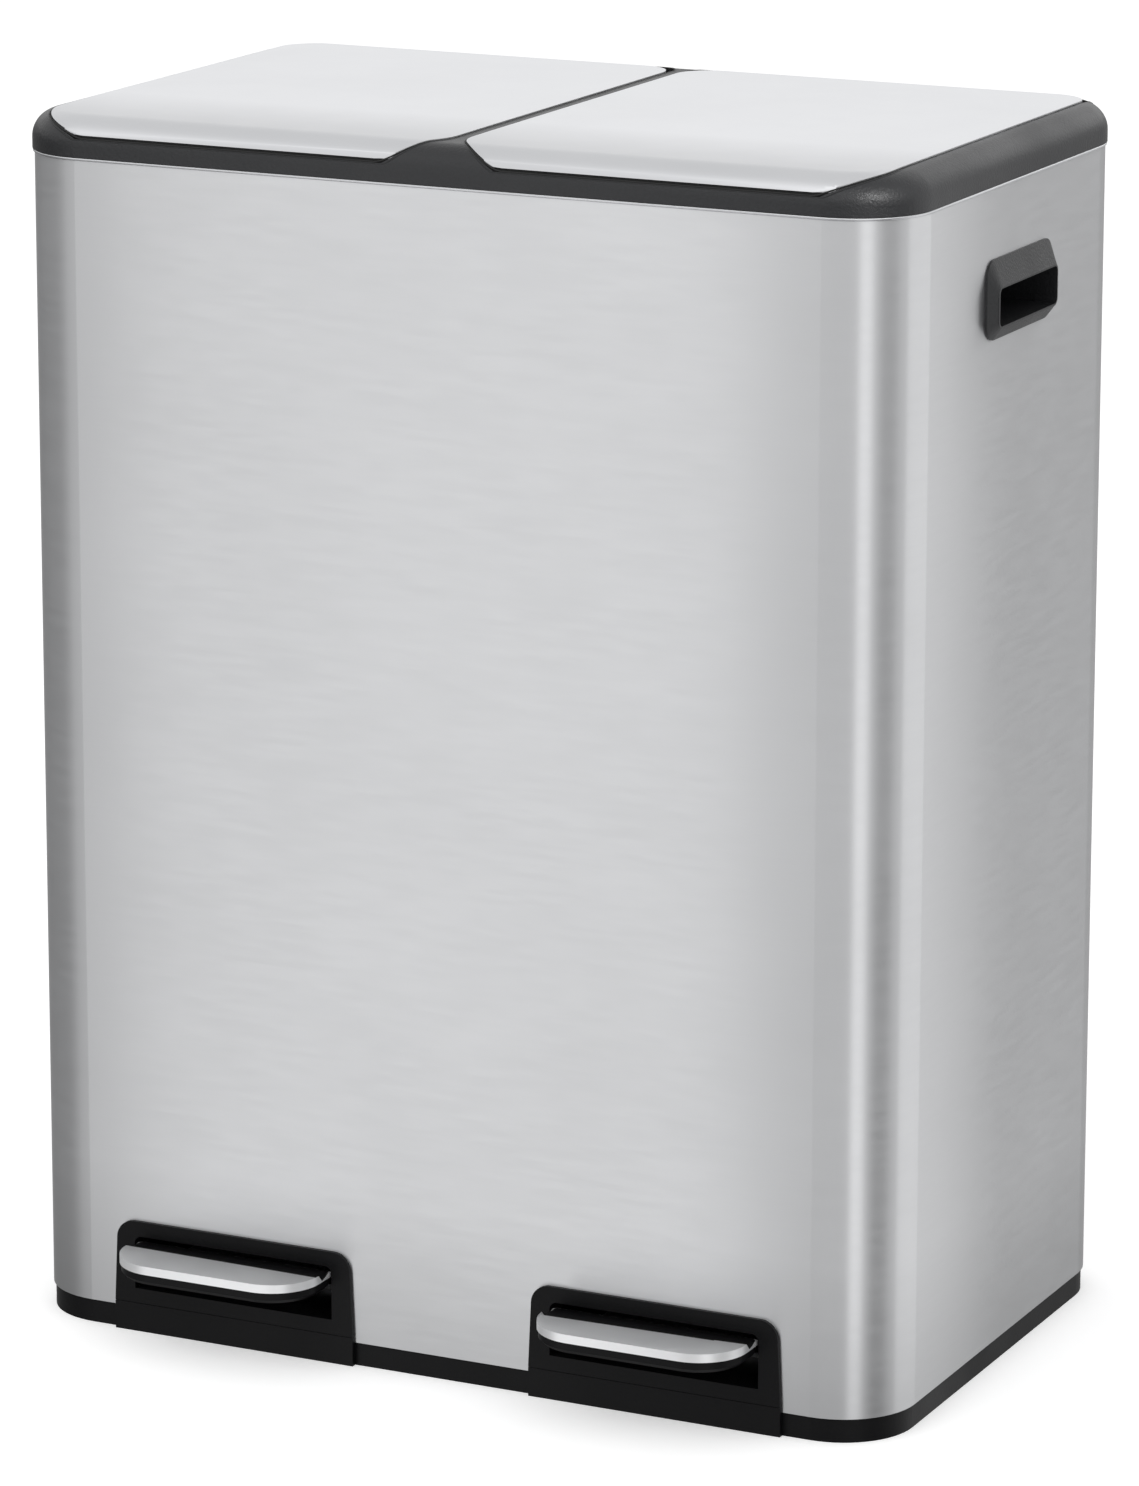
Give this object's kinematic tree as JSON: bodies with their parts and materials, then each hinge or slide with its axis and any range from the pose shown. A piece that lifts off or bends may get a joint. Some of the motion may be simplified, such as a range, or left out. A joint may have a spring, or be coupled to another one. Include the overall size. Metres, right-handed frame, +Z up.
{
  "type": "double recycling bin",
  "caption": "Upright steel pedal bin with two side-by-side lids, pedals, lift-out buckets, black rim and base, and recessed side handles.",
  "frame": {"origin": "on the floor at the centre of the casing's footprint", "axes": "+Z up, +X to the right as seen from the front, the front with the pedals faces -Y"},
  "size_m": [0.502, 0.3456, 0.6381],
  "materials": {
    "brushed_steel": "brushed stainless steel, satin",
    "lid_steel": "brushed stainless steel, lighter where it lies flat",
    "rim_plastic": "fine-grained black plastic",
    "base_plastic": "smooth near-black plastic",
    "inner_plastic": "black moulded plastic",
    "pedal_steel": "pressed stainless steel",
    "zinc_steel": "zinc-plated steel",
    "bucket_plastic": "dark grey moulded plastic",
    "rubber": "black rubber",
    "damper_metal": "drawn aluminium"
  },
  "bodies": {
    "cabinet": {"steel_casing": "brushed_steel", "base_band": "base_plastic", "tray_plate": "base_plastic", "rubber_feet": "rubber", "inner_floor": "inner_plastic", "floor_skirt": "inner_plastic", "top_rim": "rim_plastic", "rim_collar": "rim_plastic", "guide_rivets": "zinc_steel", "hinge_brackets_left": "inner_plastic", "hinge_pins_left": "zinc_steel", "hinge_screws_left": "zinc_steel", "rod_guides_left": "inner_plastic", "damper_cylinder_left": "damper_metal", "pedal_axle_left": "zinc_steel", "axle_bracket_left": "zinc_steel", "axle_clips_left": "zinc_steel", "bracket_screws_left": "zinc_steel", "pedal_surround_left": "base_plastic", "side_handle_left": "rim_plastic", "handle_screws_left": "zinc_steel", "hinge_brackets_right": "inner_plastic", "hinge_pins_right": "zinc_steel", "hinge_screws_right": "zinc_steel", "rod_guides_right": "inner_plastic", "damper_cylinder_right": "damper_metal", "pedal_axle_right": "zinc_steel", "axle_bracket_right": "zinc_steel", "axle_clips_right": "zinc_steel", "bracket_screws_right": "zinc_steel", "pedal_surround_right": "base_plastic", "side_handle_right": "rim_plastic", "handle_screws_right": "zinc_steel"},
    "lid_left": {"lid_cover_left": "lid_steel", "lid_frame_left": "inner_plastic", "lid_bumpers_left": "rubber", "lid_crank_left": "zinc_steel"},
    "rod_left": {"lift_rod_left": "zinc_steel", "damper_link_left": "inner_plastic", "damper_piston_left": "zinc_steel"},
    "pedal_left": {"pedal_cap_left": "pedal_steel", "pedal_pad_left": "base_plastic", "pedal_lever_left": "zinc_steel", "pedal_rivets_left": "zinc_steel"},
    "bucket_left": {"bucket_left": "bucket_plastic"},
    "bail_left": {"bucket_bail_left": "bucket_plastic"},
    "lid_right": {"lid_cover_right": "lid_steel", "lid_frame_right": "inner_plastic", "lid_bumpers_right": "rubber", "lid_crank_right": "zinc_steel"},
    "rod_right": {"lift_rod_right": "zinc_steel", "damper_link_right": "inner_plastic", "damper_piston_right": "zinc_steel"},
    "pedal_right": {"pedal_cap_right": "pedal_steel", "pedal_pad_right": "base_plastic", "pedal_lever_right": "zinc_steel", "pedal_rivets_right": "zinc_steel"},
    "bucket_right": {"bucket_right": "bucket_plastic"},
    "bail_right": {"bucket_bail_right": "bucket_plastic"}
  },
  "joints": [
    {"name": "lid_hinge_left", "type": "hinge", "parent": "cabinet", "child": "lid_left", "pos_m": [-0.12, 0.133, 0.6325], "axis": [-1, 0, 0], "range_deg": [0, 80]},
    {"name": "rod_slide_left", "type": "slide", "parent": "cabinet", "child": "rod_left", "axis": [0, 0, 1], "range_m": [0, 0.02572]},
    {"name": "pedal_hinge_left", "type": "hinge", "parent": "cabinet", "child": "pedal_left", "pos_m": [-0.12, -0.06, 0.03], "axis": [1, 0, 0], "range_deg": [0, 8.02]},
    {"name": "bucket_lift_left", "type": "slide", "parent": "cabinet", "child": "bucket_left", "axis": [0, 0, 1], "range_m": [0, 0.01]},
    {"name": "bail_hinge_left", "type": "hinge", "parent": "bucket_left", "child": "bail_left", "pos_m": [-0.114, -0.019, 0.604], "axis": [-1, 0, 0], "range_deg": [0, 6]},
    {"name": "lid_hinge_right", "type": "hinge", "parent": "cabinet", "child": "lid_right", "pos_m": [0.12, 0.133, 0.6325], "axis": [-1, 0, 0], "range_deg": [0, 80]},
    {"name": "rod_slide_right", "type": "slide", "parent": "cabinet", "child": "rod_right", "axis": [0, 0, 1], "range_m": [0, 0.02572]},
    {"name": "pedal_hinge_right", "type": "hinge", "parent": "cabinet", "child": "pedal_right", "pos_m": [0.12, -0.06, 0.03], "axis": [1, 0, 0], "range_deg": [0, 8.02]},
    {"name": "bucket_lift_right", "type": "slide", "parent": "cabinet", "child": "bucket_right", "axis": [0, 0, 1], "range_m": [0, 0.01]},
    {"name": "bail_hinge_right", "type": "hinge", "parent": "bucket_right", "child": "bail_right", "pos_m": [0.114, -0.019, 0.604], "axis": [-1, 0, 0], "range_deg": [0, 6]}
  ],
  "couplings": [
    {"joint": "rod_slide_left", "follows": "lid_hinge_left", "m_per_rad": 0.018415},
    {"joint": "pedal_hinge_left", "follows": "lid_hinge_left", "ratio": 0.10016},
    {"joint": "rod_slide_right", "follows": "lid_hinge_right", "m_per_rad": 0.018415},
    {"joint": "pedal_hinge_right", "follows": "lid_hinge_right", "ratio": 0.10016}
  ]
}
